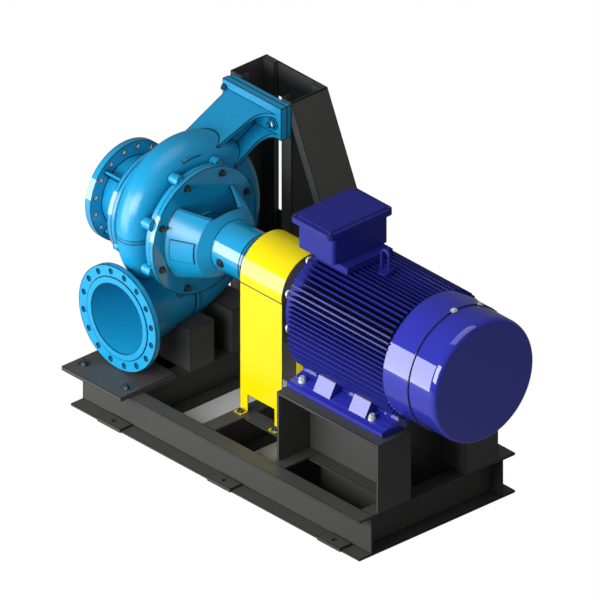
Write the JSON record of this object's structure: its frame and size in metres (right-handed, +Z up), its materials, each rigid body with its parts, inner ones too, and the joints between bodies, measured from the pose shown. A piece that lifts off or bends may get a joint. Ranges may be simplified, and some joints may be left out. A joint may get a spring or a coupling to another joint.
{
  "type": "mixed-flow pump set on a channel-steel skid",
  "caption": "Horizontal mixed-flow volute pump coupled to a finned electric motor on a welded channel-steel skid, with a coupling guard and a top support tower.",
  "frame": {"origin": "on the floor under the middle of the skid, below the shaft, on the underside of the middle tray", "axes": "+X along the shaft from pump to motor, +Y across the skid away from the discharge flange, +Z up"},
  "size_m": [2.356, 1.2225, 1.337],
  "materials": {
    "skid_black": "satin black paint",
    "tray_grey": "matt grey paint on thin sheet",
    "motor_blue": "gloss dark blue enamel",
    "casing_blue": "gloss light blue enamel on cast iron",
    "guard_yellow": "gloss yellow paint",
    "bright_steel": "turned steel",
    "bronze": "cast bronze"
  },
  "bodies": {
    "root": {"beam_front": "skid_black", "beam_rear": "skid_black", "bearing_housing": "casing_blue", "bearing_lantern": "casing_blue", "bracket_packer": "casing_blue", "casing_cover": "casing_blue", "coupling_guard": "guard_yellow", "coupling_motor": "bright_steel", "coupling_pump": "bright_steel", "cross_guard": "skid_black", "cross_left_end": "skid_black", "cross_motor": "skid_black", "cross_pump": "skid_black", "cross_right_end": "skid_black", "discharge_branch": "casing_blue", "eye_bolt": "motor_blue", "fan_cowl": "motor_blue", "guard_strap_front": "skid_black", "guard_strap_rear": "skid_black", "impeller": "bronze", "inner_beam_front": "skid_black", "inner_beam_rear": "skid_black", "motor_drive_shield": "motor_blue", "motor_foot_front": "motor_blue", "motor_foot_rear": "motor_blue", "motor_frame": "motor_blue", "motor_rear_shield": "motor_blue", "motor_shaft": "bright_steel", "outrigger_left": "skid_black", "outrigger_leg": "skid_black", "outrigger_middle": "skid_black", "pedestal_front": "skid_black", "pedestal_rear": "skid_black", "pump_cradle_front": "skid_black", "pump_cradle_rear": "skid_black", "pump_plate": "skid_black", "pump_shaft": "bright_steel", "seal_gland": "casing_blue", "suction_cover": "casing_blue", "terminal_box": "motor_blue", "terminal_lid": "motor_blue", "top_bracket": "casing_blue", "tower_back_wall": "skid_black", "tower_left_wall": "skid_black", "tower_plate": "skid_black", "tower_post_left": "skid_black", "tower_post_right": "skid_black", "tower_sloping_leg": "skid_black", "tray_guard": "tray_grey", "tray_motor": "tray_grey", "tray_pump": "tray_grey", "volute_casing": "casing_blue"}
  },
  "joints": []
}
